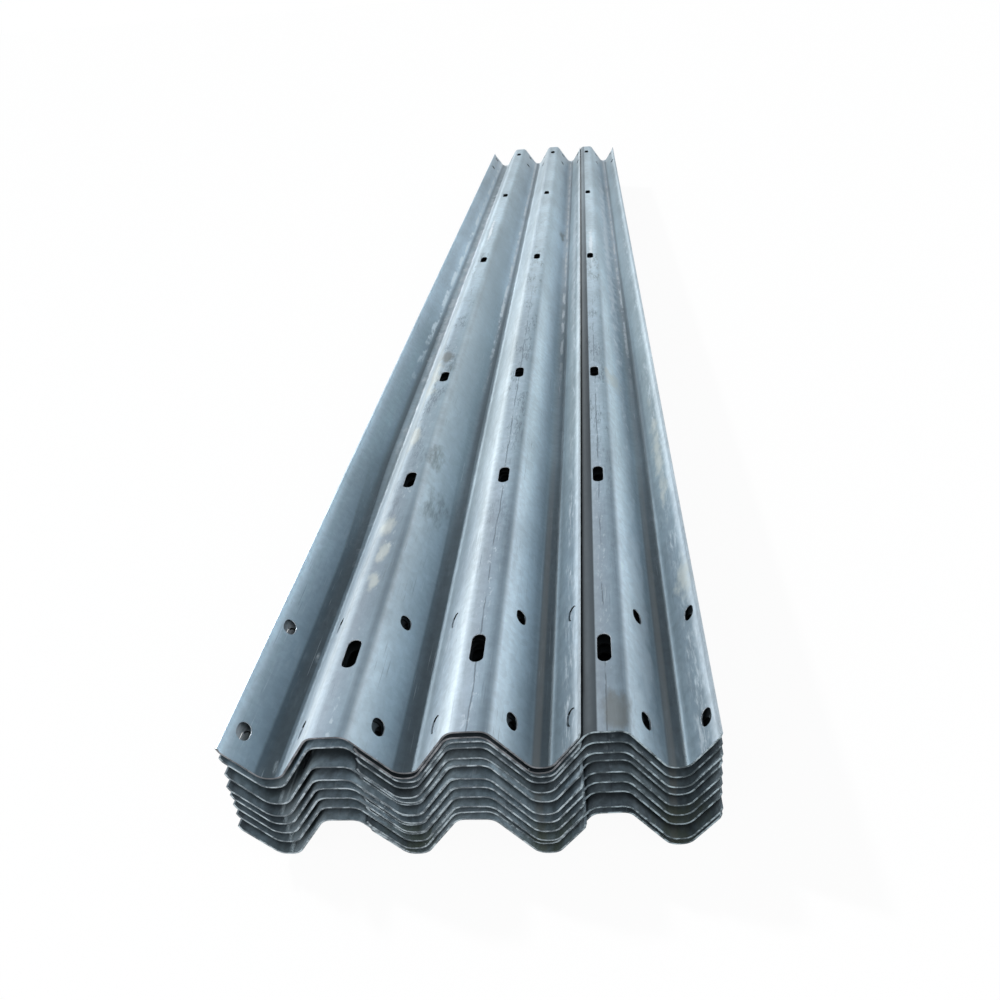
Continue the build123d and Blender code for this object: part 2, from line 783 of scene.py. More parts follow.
@dataclass(frozen=True)
class GalvanisedSheet:
    """Hot-dip galvanised steel on one rolled beam, dulled, scuffed and stained, with
    painted shade and painted highlights.
    """

    name: str
    column: float
    underside: float
    end: float = 0.0
    half_width: float = 0.253
    flatness: float = 0.0
    depth_shade: float = 0.0
    shade_tint: Tone = (1.0, 1.0, 1.0)
    scratches: float = 1.0
    scuffing: float = 1.0
    grime: float = 0.0
    mottle: float = 0.0
    sheen: float = 0.0
    skew: float = 0.0
    open_end: float = 9.0
    covered: tuple[float, float] = (0.0, 0.0)
    seam: float = 0.0
    edges: tuple[Tone, Tone] = (srgb(100, 109, 115), srgb(182, 194, 200))
    stains: tuple[Stain, ...] = ()

    SHADED_EDGES = (srgb(74, 85, 90), srgb(170, 186, 193))
    # Colour, strength and raggedness of each kind: the pale patches are mostly painted
    # light, and the film and dull patches partly painted shade.
    SHADES = {
        StainKind.LIME: (srgb(204, 208, 200), 0.50, 2.0),
        StainKind.CHALK_AND_LIGHT: (srgb(240, 247, 252), 0.80, 1.8),
        StainKind.SOOT: (srgb(92, 102, 104), 0.55, 1.8),
        StainKind.RUST: (srgb(104, 104, 98), 0.60, 1.8),
        StainKind.MOSS: (srgb(88, 98, 78), 0.60, 1.8),
        StainKind.FILM_AND_SHADE: (srgb(138, 154, 162), 0.55, 0.5),
        StainKind.DULL_AND_SHADE: (srgb(96, 108, 116), 0.30, 0.4),
    }

    def make(self, effects: Effects) -> Material:
        """Builds the material.

        Args:
            effects: The shared effects.

        Returns:
            The finished material.
        """
        material, graph, shader = start_material(self.name)
        coat = Coat(self, graph, effects)
        coat.lay_zinc()
        coat.wear()
        coat.weather()
        coat.shade()
        coat.brighten_slopes()
        coat.stain()
        coat.cut_edges()
        graph.feed(shader.inputs["Base Color"], coat.colour)
        shader.inputs["Metallic"].default_value = 0.50
        graph.feed(shader.inputs["Roughness"], coat.roughness())
        graph.feed(shader.inputs["Normal"], coat.relief())
        return material


class Coat:
    """The surface of one beam while its layers are laid over each other."""

    def __init__(self, sheet: GalvanisedSheet, graph: Graph, effects: Effects) -> None:
        """Places the effects that most layers need.

        Args:
            sheet: The finish that is built.
            graph: The material's graph.
            effects: The shared effects.
        """
        self.sheet, self.graph, self.effects = sheet, graph, effects
        coordinates = graph.add("ShaderNodeTexCoord").outputs
        self.facing = coordinates["Normal"]
        place = self.place = coordinates["Object"]
        beam = graph.place(place, shift=(-sheet.column, 0.0, -sheet.underside))
        wave = graph.group(effects.wave_place, Place=beam)
        self.side, self.along, self.across = wave["Side"], wave["Along"], wave["Across"]
        self.tone = graph.group(effects.wave_painted_light_and_tone, Side=self.side, Along=self.along)
        self.phase = self.tone["Phase"]
        self.colour = self.tone["Colour"]
        self.clouds = graph.group(effects.clouds, Place=place)
        self.flake = graph.group(effects.spangle, Place=place, Size=0.012)["Flake"]
        self.lines = graph.group(
            effects.roll_scratches, Place=place, Amount=sheet.scratches
        )
        self.scuffs = graph.group(effects.scuffs, Place=place, Amount=sheet.scuffing)
        slope = math.tan(math.radians(sheet.skew))
        near_end = graph.maths(
            "MULTIPLY_ADD", self.side, -slope, sheet.end + sheet.half_width * slope
        )
        self.inward = graph.maths("SUBTRACT", self.along, near_end)

    def paint(self, share: object, shade: object) -> None:
        """Lays a shade over what is there."""
        self.colour = self.graph.mix(share, self.colour, shade)

    def vary(self, pattern: object, swing: float) -> None:
        """Makes the colours lighter and darker along a pattern.

        Args:
            pattern: Its number, about 0.5 on average.
            swing: How far the brightness goes up and down.
        """
        greys = (0.30, (1 - swing,) * 3), (0.70, (1 + swing,) * 3)
        tones = self.graph.ramp(pattern, greys)
        self.colour = self.graph.mix(1.0, self.colour, tones, "MULTIPLY")

    def lay_zinc(self) -> None:
        """Lays the zinc itself: its tone with painted light, the lower beams' painted
        shade, clouds, crystals and scratches.
        """
        graph, mottle = self.graph, self.sheet.mottle
        self.paint(self.sheet.flatness, srgb(150, 167, 178))
        # Painted shade: the lower beams' colours are darkened as if under the beams
        # above.
        self.colour = graph.mix(1.0, self.colour, self.sheet.shade_tint, "MULTIPLY")
        self.vary(self.clouds["Broad"], 0.11 + mottle)
        self.vary(self.clouds["Fine"], 0.055 + mottle)
        self.vary(self.flake, 0.035)
        self.paint(graph.times(self.lines["Dark"], 0.5), srgb(96, 108, 120))
        self.paint(graph.times(self.lines["Bright"], 0.4), srgb(228, 238, 246))

    def wear(self) -> None:
        """Crazes the crests towards the near end."""
        graph, along, crest = self.graph, self.along, self.tone["Crest"]
        worn = graph.group(
            self.effects.cracks,
            Place=self.place,
            Across=self.across,
            Amount=self.sheet.scratches,
        )
        near_part = graph.times(
            graph.step(along, 1.0, -0.2), graph.step(along, -2.0, -1.0, (0.15, 1.0))
        )
        crazed = graph.times(crest, near_part)
        cracked = graph.times(crest, graph.step(along, 0.1, -1.0))
        long_crack = graph.times(cracked, graph.step(self.side, 0.0, 0.01))
        for mark, where, strength, shade in (
            ("Vein", crazed, 0.60, srgb(84, 96, 104)),
            ("Crack", long_crack, 0.60, srgb(78, 90, 100)),
            ("Fleck", cracked, 0.40, srgb(214, 226, 234)),
        ):
            self.paint(graph.times(worn[mark], where, strength), shade)

    def weather(self) -> None:
        """Adds dried lime, dulled flanges, scuffs, dust and the darker far part."""
        graph, side, along, phase = self.graph, self.side, self.along, self.phase
        lime = graph.group(
            self.effects.lime_line, Place=self.place, Phase=phase, Along=along
        )["Mask"]
        self.paint(graph.times(lime, 0.9), srgb(238, 247, 252))
        right_flange = graph.between(side, 0.200, 0.210, 0.236, 0.246)
        left_flange = graph.times(
            graph.step(along, 0.2, -1.6),
            graph.between(side, -0.250, -0.240, -0.210, -0.200),
        )
        dulled = graph.maths("MULTIPLY_ADD", left_flange, 0.5, right_flange)
        dull = graph.mix(1.0, self.colour, (0.48, 0.52, 0.54), "MULTIPLY")
        self.paint(dulled, dull)
        left_slope = graph.between(phase, 0.07, 0.13, 0.28, 0.34)
        most = graph.maths("MULTIPLY_ADD", left_slope, 0.88, 0.12)
        scuff = graph.times(self.scuffs["Mask"], most, 0.6)
        self.paint(scuff, srgb(226, 237, 244))
        dusty = graph.times(
            graph.step(side, 0.12, 0.17),
            graph.between(phase, 0.855, 0.89, 0.915, 0.940),
            graph.step(along, -1.0, -1.9, (0.06, 0.40)),
        )
        self.paint(dusty, srgb(150, 150, 146))
        self.paint(graph.step(along, 0.5, 1.6, (0.0, 0.16)), (0.0, 0.0, 0.0))

    def shade(self) -> None:
        """Paints shade beside, under and between the beams, and adds the lower beams'
        grime.
        """
        graph, sheet, side = self.graph, self.sheet, self.side
        x_place, y_place, _ = graph.parts(self.place)
        # Painted shadow of the neighbouring beam's lip, darkest towards the near end.
        if sheet.seam:
            beside = graph.times(
                graph.step(x_place, sheet.seam, sheet.seam - 0.003),
                graph.step(self.along, 2.6, -1.8, (0.45, 0.97)),
            )
            self.paint(beside, srgb(44, 51, 56))
        if sheet.grime:
            film = graph.step(self.clouds["Broad"], 0.35, 0.65)
            self.paint(graph.times(film, sheet.grime), srgb(92, 96, 84))
        # Painted shade: near black where other beams cover this one, off the crests and
        # back from the near end.
        off_crests = graph.maths(
            "MAXIMUM",
            graph.step(self.across, 0.26, 0.34),
            graph.step(self.across, 0.05, 0.0),
        )
        start, end = sheet.covered
        shade_under_cover = graph.times(
            graph.step(side, -0.205, -0.195),
            off_crests,
            graph.step(y_place, sheet.open_end, sheet.open_end + 0.04),
            graph.between(x_place, start, start + 0.01, end - 0.01, end),
        )
        self.paint(shade_under_cover, srgb(10, 11, 12))
        # Painted shade, deepening inward from the near end, under the beam above.
        deep = graph.times(graph.step(self.inward, 0.002, 0.026), sheet.depth_shade)
        self.paint(deep, srgb(34, 40, 44))
        # Painted shade on the left lips of the lower beams.
        if sheet.flatness:
            lip_shade = graph.times(graph.step(side, -0.240, -0.248), 0.75)
            self.paint(lip_shade, srgb(58, 66, 72))

    def brighten_slopes(self) -> None:
        """Paints a highlight on the outer slope of a lower beam at its near end."""
        if self.sheet.sheen:
            painted_sheen = self.graph.times(
                self.graph.between(self.side, -0.200, -0.182, -0.174, -0.156),
                self.sheet.sheen,
                self.graph.step(self.inward, 0.05, 0.0),
            )
            self.paint(painted_sheen, srgb(186, 200, 206))

    def stain(self) -> None:
        """Adds the sheet's own marks, some of them painted light and painted shade."""
        for stain in self.sheet.stains:
            shade, strength, raggedness = self.sheet.SHADES[stain.kind]
            mask = self.graph.group(
                self.effects.spot,
                Place=self.place,
                Middle=(stain.across, stain.along, self.sheet.underside + 0.08),
                Reach=(stain.width, stain.length, 0.2),
                Raggedness=raggedness,
            )["Mask"]
            if stain.kind is StainKind.SOOT:
                mask = self.graph.times(mask, self.scuffs["Streak"])
            self.paint(self.graph.times(mask, strength * stain.strength), shade)

    def cut_edges(self) -> None:
        """Shows the sheared ends, and paints shade on the walls of slots and holes."""
        graph = self.graph
        cut = graph.group(
            self.effects.cut_edges,
            Facing=self.facing,
            Inward=self.inward,
            Place=self.place,
        )
        to_right = graph.step(graph.parts(self.place)[0], 0.12, 0.17)
        dull, bright = (
            graph.mix(to_right, left, right)
            for left, right in zip(self.sheet.edges, self.sheet.SHADED_EDGES)
        )
        self.paint(cut["End"], graph.mix(cut["Bright"], dull, bright))
        # Painted shade inside slots and holes.
        self.paint(cut["Wall"], srgb(20, 24, 26))

    def roughness(self) -> Socket:
        """Works out how rough the zinc is.

        Returns:
            The roughness' socket.
        """
        graph = self.graph
        rough = 0.46 + 0.25 * self.sheet.flatness
        for pattern, share in (
            (self.flake, 0.05),
            (self.clouds["Fine"], 0.12),
            (graph.between(self.phase, 0.22, 0.30, 0.58, 0.61), 0.12),
            (self.tone["Valley"], -0.06),
        ):
            rough = graph.maths("MULTIPLY_ADD", pattern, share, rough)
        return rough

    def relief(self) -> Socket:
        """Raises the fine clouds and sinks the dark scratches.

        Returns:
            The normal's socket.
        """
        fine = self.graph.times(self.clouds["Fine"], 0.4)
        height = self.graph.maths("SUBTRACT", fine, self.lines["Dark"])
        return self.graph.bump(height, 0.22, 0.0006)


@dataclass(frozen=True)
class BareZinc:
    """Thick bright zinc that gathers on punched rims and cut edges."""

    name: str = "bare_zinc"

    def make(self, effects: Effects) -> Material:
        """Builds the material.

        Args:
            effects: The shared effects.

        Returns:
            The finished material.
        """
        material, graph, shader = start_material(self.name)
        place = graph.add("ShaderNodeTexCoord").outputs["Object"]
        fine = graph.group(effects.clouds, Place=place)["Fine"]
        colour = graph.ramp(fine, tone_row((0.3, 176, 188, 198), (0.7, 232, 240, 246)))
        graph.feed(shader.inputs["Base Color"], colour)
        shader.inputs["Metallic"].default_value = 0.60
        rough = graph.maths("MULTIPLY_ADD", fine, 0.25, 0.28)
        graph.feed(shader.inputs["Roughness"], rough)
        graph.feed(shader.inputs["Normal"], graph.bump(fine, 0.4, 0.0004))
        return material


class Workshop:
    """Small steps that every new piece needs."""

    @staticmethod
    def clear() -> None:
        """Deselects everything."""
        bpy.ops.object.select_all(action="DESELECT")

    @classmethod
    def settle(cls, piece: Piece, name: str) -> Piece:
        """Puts a piece's place into its mesh and names it.

        Args:
            piece: The finished piece.
            name: Its name.

        Returns:
            The same piece, at the origin.
        """
        cls.clear()
        piece.select_set(True)
        bpy.context.view_layer.objects.active = piece
        bpy.ops.object.transform_apply(location=True, rotation=True, scale=True)
        piece.name = piece.data.name = name
        return piece

    @classmethod
    def join(cls, parts: list[Piece], name: str) -> Piece:
        """Joins parts into one piece.

        Args:
            parts: The parts, each with its own mesh.
            name: The piece's name.

        Returns:
            The piece.
        """
        cls.clear()
        for part in parts:
            part.select_set(True)
        bpy.context.view_layer.objects.active = parts[0]
        bpy.ops.object.join()
        return cls.settle(bpy.context.view_layer.objects.active, name)

    @staticmethod
    def copy(piece: Piece, where: Matrix) -> Piece:
        """Copies a piece with its own mesh.

        Args:
            piece: What is copied.
            where: The copy's place and turn.

        Returns:
            The copy.
        """
        twin = piece.copy()
        twin.data = piece.data.copy()
        twin.matrix_world = where
        bpy.context.scene.collection.objects.link(twin)
        return twin

    @staticmethod
    def hand_over(piece: Piece, finish: Material) -> None:
        """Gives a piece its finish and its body.

        Args:
            piece: The piece.
            finish: Its material.
        """
        piece.data.materials.clear()
        piece.data.materials.append(finish)
        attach(piece, BODY)
        LOG.info("piece %s: %d faces", piece.name, len(piece.data.polygons))


@dataclass
class RolledBeam:
    """One packed beam: where it lies and what it looks like."""

    node: str
    profile: WaveProfile
    skew: float = 0.0
    finish: GalvanisedSheet | None = None
    low: Vector = field(init=False)
    high: Vector = field(init=False)

    def __post_init__(self) -> None:
        """Reads the beam's corners from the frame."""
        self.low, self.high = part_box(self.node)

    @property
    def column(self) -> float:
        """The beam's middle, across the bundle."""
        return (self.low.x + self.high.x) / 2

    @property
    def on_top(self) -> bool:
        """Whether the beam is the uppermost one of its column."""
        return self.node.endswith("_beam_1")

    @property
    def half_width(self) -> float:
        """Half of the beam's width."""
        return (self.high.x - self.low.x) / 2

    def point(self, across: float, along: float) -> Vector:
        """Gives a point on the upper face.

        Args:
            across: Place across the beam from its middle.
            along: Distance from the near end.

        Returns:
            The point.
        """
        set_back = (self.half_width - across) * math.tan(math.radians(self.skew))
        return Vector(
            (
                self.column + across,
                self.low.y + set_back + along,
                self.low.z + self.profile.height(across),
            )
        )

    def dress(self, effects: Effects) -> Material:
        """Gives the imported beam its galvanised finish.

        Args:
            effects: The shared effects.

        Returns:
            The finish.
        """
        material = self.finish.make(effects)
        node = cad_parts[self.node]
        node.data.materials.clear()
        node.data.materials.append(material)
        LOG.info("node %s: %s", self.node, material.name)
        return material


@dataclass
class PunchedRims:
    """Rounded zinc rims that line the slots and holes of one beam."""

    beam: RolledBeam
    slot_half_run: float = 0.019
    slot_radius: float = 0.011
    hole_half_run: float = 0.003
    hole_radius: float = 0.012
    bead: float = 0.0009
    set_back: float = 0.0006
    end_to_slot: float = 0.160
    slot_places: tuple[float, ...] = (0.0, 0.5, 1.0)
    hole_rows: tuple[float, ...] = (0.050, 0.270)
    hole_places: tuple[float, ...] = (0.04225, 0.15175)
    edge_hole: float = 0.2385
    hole_level: float = 0.0425
    edge_hole_level: float = 0.0457
    length: float = 4.320
    open_crests: tuple[int, ...] = (-1, 1)
    open_from: float = 0.1

    def ring(self, radius: float, half_run: float, sides: int) -> Piece:
        """Models one rim: a torus whose halves are drawn apart along the beam.

        Args:
            radius: The opening's end radius.
            half_run: Half of its straight run.
            sides: Faces round the rim.

        Returns:
            The rim, round the origin and open along +Z.
        """
        Workshop.clear()
        bpy.ops.mesh.primitive_torus_add(
            major_segments=sides,
            minor_segments=6,
            major_radius=radius + self.set_back,
            minor_radius=self.bead,
            rotation=(0.0, 0.0, math.pi / sides),
        )
        ring = bpy.context.active_object
        Workshop.settle(ring, "rim")
        bpy.ops.object.mode_set(mode="EDIT")
        bpy.ops.mesh.select_mode(type="VERT")
        for side in (1, -1):
            bpy.ops.mesh.select_all(action="DESELECT")
            bpy.ops.object.mode_set(mode="OBJECT")
            for vertex in ring.data.vertices:
                vertex.select = vertex.co.y * side > 0
            bpy.ops.object.mode_set(mode="EDIT")
            bpy.ops.transform.translate(value=(0.0, side * half_run, 0.0))
        bpy.ops.object.mode_set(mode="OBJECT")
        bpy.ops.object.shade_smooth()
        return ring

    def facing(self, across: float) -> Facing:
        """Tells which way the slope at a place looks."""
        pitch = self.beam.profile.pitch
        return Facing.RIGHT if (across % pitch) > pitch / 2 else Facing.LEFT

    def slope_place(self, across: float, along: float) -> Matrix:
        """Finds a splice hole's place and lean on a slope.

        Args:
            across: Place across the beam from its middle.
            along: Distance from the near end.

        Returns:
            The rim's place, just under the upper face.
        """
        on_edge = abs(across) == self.edge_hole
        level = self.edge_hole_level if on_edge else self.hole_level
        lean = self.beam.profile.lean * self.facing(across).value
        out = Vector((math.sin(lean), 0.0, math.cos(lean)))
        low = self.beam.low
        middle = Vector((self.beam.column + across, low.y + along, low.z + level))
        up = self.beam.profile.sheet / 2 - self.bead
        return Matrix.Translation(middle + out * up) @ Matrix.Rotation(lean, 4, "Y")

    def slot_rims(self) -> Piece:
        """Rims the slots in both crests.

        Returns:
            The piece.
        """
        ring = self.ring(self.slot_radius, self.slot_half_run, 20)
        rims = []
        for side in self.open_crests:
            across = side * self.beam.profile.pitch / 2
            for place in self.slot_places:
                point = self.beam.point(across, self.end_to_slot + place)
                point.z -= self.bead
                rims.append(Workshop.copy(ring, Matrix.Translation(point)))
        bpy.data.objects.remove(ring)
        return Workshop.join(rims, f"{self.beam.node}_slot_rims")

    def rimmed(self, across: float, along: float) -> bool:
        """Tells whether a splice hole keeps a rim of its own.

        Args:
            across: Place across the beam from its middle.
            along: Distance from the near end.

        Returns:
            Whether it does: not where a film or another beam closes it.
        """
        turned_left = self.facing(across) is Facing.LEFT
        if -1 in self.open_crests:
            return not turned_left
        at_far_end = along > self.length / 2
        return across >= self.open_from and not (turned_left and at_far_end)

    def hole_rims(self) -> Piece:
        """Rims the splice holes at both ends.

        Returns:
            The piece.
        """
        ring = self.ring(self.hole_radius, self.hole_half_run, 20)
        rims = []
        for row in self.hole_rows:
            for along in (row, self.length - row):
                for distance in (*self.hole_places, self.edge_hole):
                    for across in (-distance, distance):
                        if self.rimmed(across, along):
                            where = self.slope_place(across, along)
                            rims.append(Workshop.copy(ring, where))
        bpy.data.objects.remove(ring)
        return Workshop.join(rims, f"{self.beam.node}_hole_rims")

    def build(self, zinc: Material) -> None:
        """Models and dresses both sets of rims.

        Args:
            zinc: The rims' finish.
        """
        for piece in (self.slot_rims(), self.hole_rims()):
            Workshop.hand_over(piece, zinc)


@dataclass
class ZincSkins:
    """Thin films that molten zinc left over most of some splice holes."""

    rims: PunchedRims
    holes: tuple[float, ...]
    thickness: float = 0.0005
    slack: float = 0.0004
    shift: float = 0.0022
    depth: float = 0.0012

    def film(self) -> Piece:
        """Models one film, round the origin and facing +Z.

        Returns:
            The film.
        """
        Workshop.clear()
        radius = self.rims.hole_radius - self.slack
        bpy.ops.mesh.primitive_cylinder_add(
            vertices=24, radius=radius, depth=self.thickness
        )
        film = bpy.context.active_object
        film.scale.y = (radius + self.rims.hole_half_run) / radius
        return Workshop.settle(film, "film")

    def build(self, finish: Material) -> None:
        """Models and dresses the films at the near end as one piece.

        Args:
            finish: The beam's own finish.
        """
        film = self.film()
        sink = Matrix.Translation((self.shift, 0.0, -self.depth))
        films = [
            Workshop.copy(film, self.rims.slope_place(across, row) @ sink)
            for row in self.rims.hole_rows
            for across in self.holes
        ]
        bpy.data.objects.remove(film)
        piece = Workshop.join(films, f"{self.rims.beam.node}_skins")
        Workshop.hand_over(piece, finish)


@dataclass
class ZincBurrs:
    """Small zinc lumps left along a beam's sheared near end."""

    beam: RolledBeam
    count: int
    seed: int
    smallest: float = 0.0006
    largest: float = 0.0012
    margin: float = 0.185
    set_back: float = 0.0006
    scatter: float = 0.002
    sunk: float = 0.7
    longest: float = 1.8
    flatness: float = 0.6

    def build(self, zinc: Material) -> None:
        """Models and dresses the lumps as one piece.

        Args:
            zinc: Their finish.
        """
        draw = random.Random(self.seed)
        Workshop.clear()
        bpy.ops.mesh.primitive_ico_sphere_add(subdivisions=1, radius=1.0)
        lump = bpy.context.active_object
        bpy.ops.object.shade_smooth()
        lumps = []
        for _ in range(self.count):
            across = draw.uniform(-self.margin, self.margin)
            size = draw.uniform(self.smallest, self.largest)
            back = size + self.set_back + draw.uniform(0.0, self.scatter)
            point = self.beam.point(across, back)
            point.z -= size * self.sunk
            length = size * draw.uniform(0.8, self.longest)
            stretch = Matrix.Diagonal((length, size, size * self.flatness, 1.0))
            turn = Matrix.Rotation(draw.uniform(0.0, math.pi), 4, "Z")
            where = Matrix.Translation(point) @ turn @ stretch
            lumps.append(Workshop.copy(lump, where))
        bpy.data.objects.remove(lump)
        Workshop.hand_over(Workshop.join(lumps, f"{self.beam.node}_burrs"), zinc)


@dataclass
class BeamStack:
    """The whole bundle: every packed beam with its own finish and trimmings."""

    profile: WaveProfile = WaveProfile()
    beams: list[RolledBeam] = field(default_factory=list)

    # Marks on the top left beam. The pale patch at 0.158 is a painted highlight along
    # the lip, the one at -0.281 is painted light in the first valley's shade, the dull
    # line at -0.303 is a painted shadow line, and the film at -0.078 is painted shade
    # on the second crest's left slope.
    LEFT_STAINS = (
        Stain(StainKind.FILM_AND_SHADE, -0.146, -0.200, 0.060, 3.200),
        Stain(StainKind.FILM_AND_SHADE, -0.078, -1.300, 0.034, 1.300),
        Stain(StainKind.CHALK_AND_LIGHT, 0.158, 0.700, 0.009, 2.200),
        Stain(StainKind.CHALK_AND_LIGHT, 0.132, 0.300, 0.012, 1.500, 0.25),
        Stain(StainKind.DULL_AND_SHADE, -0.196, -1.700, 0.046, 1.200),
        Stain(StainKind.DULL_AND_SHADE, -0.303, -1.000, 0.010, 0.900, 2.00),
        Stain(StainKind.CHALK_AND_LIGHT, -0.281, 0.300, 0.022, 2.200, 1.20),
        Stain(StainKind.LIME, -0.206, -1.640, 0.020, 0.040),
        Stain(StainKind.LIME, -0.200, -1.720, 0.016, 0.050),
        Stain(StainKind.LIME, -0.198, -1.800, 0.014, 0.036),
        Stain(StainKind.LIME, -0.218, -1.290, 0.022, 0.080),
        Stain(StainKind.LIME, -0.224, -0.960, 0.030, 0.200),
        Stain(StainKind.RUST, -0.205, -0.850, 0.024, 0.090),
        Stain(StainKind.SOOT, -0.184, -0.900, 0.020, 0.080),
        Stain(StainKind.SOOT, -0.158, -1.370, 0.026, 0.070),
        Stain(StainKind.SOOT, -0.138, -1.530, 0.030, 0.080),
        Stain(StainKind.CHALK_AND_LIGHT, -0.203, 0.420, 0.008, 0.260),
        Stain(StainKind.RUST, 0.076, 0.520, 0.016, 0.090),
    )
    # Marks on the top right beam. The pale patch at 0.262 is painted light on the
    # shaded right flank of its last crest, and the dull line at 0.305 is a painted
    # shadow line beside the valley.
    RIGHT_STAINS = (
        Stain(StainKind.CHALK_AND_LIGHT, 0.197, 0.140, 0.010, 0.330, 0.70),
        Stain(StainKind.CHALK_AND_LIGHT, 0.262, 0.400, 0.022, 1.900, 0.80),
        Stain(StainKind.CHALK_AND_LIGHT, 0.254, -1.850, 0.024, 0.500, 0.25),
        Stain(StainKind.DULL_AND_SHADE, 0.305, -1.000, 0.012, 0.700, 2.00),
        Stain(StainKind.DULL_AND_SHADE, 0.188, -1.900, 0.040, 0.700),
        Stain(StainKind.RUST, 0.206, -2.104, 0.038, 0.050),
        Stain(StainKind.LIME, 0.332, -1.780, 0.018, 0.070),
        Stain(StainKind.LIME, 0.326, -1.350, 0.012, 0.300),
        Stain(StainKind.LIME, 0.240, -0.980, 0.030, 0.080),
    )
    # Painted light on the second left beam, where it lies in shade and shows through
    # the top beam's holes on the left flange.
    LIGHT_UNDER_HOLES = (
        Stain(StainKind.CHALK_AND_LIGHT, -0.330, -2.090, 0.040, 0.045, 0.52),
        Stain(StainKind.CHALK_AND_LIGHT, -0.330, -1.870, 0.040, 0.045, 0.36),
    )
    SKINS = {
        "left_beam_1": (-0.15175, 0.04225, 0.2385),
        "left_beam_2": (-0.2385,),
    }
    SKEWS = {f"left_beam_{number}": 2.0 for number in range(3, 9)}
    TOP_EDGES = (srgb(92, 94, 98), srgb(138, 140, 144))
    LOWER_LOOK = {
        "flatness": 0.65,
        "depth_shade": 0.80,
        "scratches": 0.6,
        "scuffing": 0.0,
        "mottle": 0.20,
    }
    GRIME = (0.10, 0.30)
    LEFT_SHEEN = 0.55
    # Across the bundle, where the painted shadow of the top left beam's lip ends on the
    # top right beam.
    LIP_SHADOW_EDGE = 0.181
    CLOSED_RUN = 0.05
    LOW_BEAM = 0.055
    VALLEY_MOSS = (-0.0959, 0.0980, 0.2899)

    def cover(self, beam: RolledBeam) -> tuple[float, float]:
        """Tells how far across other beams cover one beam.

        Args:
            beam: The beam.

        Returns:
            Where the cover starts and ends, across the bundle.
        """
        if beam.node == "left_beam_1":
            return 0.0, 0.0
        if beam.node == "right_beam_1":
            return beam.low.x - 1.0, beam.column + 0.070
        return beam.column - 0.21, beam.column + 0.21

    def shade_tint(self, beam: RolledBeam, draw: random.Random) -> Tone:
        """Settles a beam's painted shade: lower beams are darkened as if under those
        above, the right column's lower ones most, by a level that differs at random.

        Args:
            beam: The beam.
            draw: Where its own variation comes from.

        Returns:
            What its colours are multiplied by.
        """
        if beam.on_top:
            return 1.0, 1.0, 1.0
        darkest, lightest = (0.66, 0.98) if beam.column < 0 else (0.41, 0.58)
        level = draw.uniform(darkest, lightest)
        return level, level * 1.03, level * 1.04

    def gather(self) -> None:
        """Finds the beams in the frame and settles what each looks like."""
        for node in sorted(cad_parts):
            beam = RolledBeam(node, self.profile, self.SKEWS.get(node, 0.0))
            draw = random.Random(node)
            stains = tuple(
                Stain(StainKind.MOSS, across, beam.low.y, 0.050, 0.050)
                for across in self.VALLEY_MOSS
                if beam.low.z < self.LOW_BEAM
            )
            if node == "left_beam_2":
                stains += self.LIGHT_UNDER_HOLES
            if beam.on_top:
                stains = self.LEFT_STAINS if beam.column < 0 else self.RIGHT_STAINS
            shade_tint = self.shade_tint(beam, draw)
            look = {"edges": self.TOP_EDGES}
            if node == "right_beam_1":
                look["seam"] = self.LIP_SHADOW_EDGE
            if not beam.on_top:
                look = {**self.LOWER_LOOK, "grime": draw.uniform(*self.GRIME)}
                look["sheen"] = self.LEFT_SHEEN if beam.column < 0 else 0.0
            beam.finish = GalvanisedSheet(
                name=f"galvanised_{node}",
                column=beam.column,
                underside=beam.low.z,
                end=beam.low.y,
                shade_tint=shade_tint,
                skew=beam.skew,
                half_width=beam.half_width,
                open_end=beam.low.y + self.CLOSED_RUN,
                covered=self.cover(beam),
                stains=stains,
                **look,
            )
            self.beams.append(beam)

    def build(self, effects: Effects, zinc: Material) -> None:
        """Dresses every beam and adds its rims, films and burrs.

        Args:
            effects: The shared effects.
            zinc: The finish of rims and burrs.
        """
        for number, beam in enumerate(self.beams):
            finish = beam.dress(effects)
            if beam.on_top:
                crests = (-1, 1) if beam.column < 0 else (1,)
                PunchedRims(beam, open_crests=crests).build(zinc)
            if beam.node in self.SKINS:
                ZincSkins(PunchedRims(beam), self.SKINS[beam.node]).build(finish)
            ZincBurrs(beam, count=9, seed=number).build(zinc)


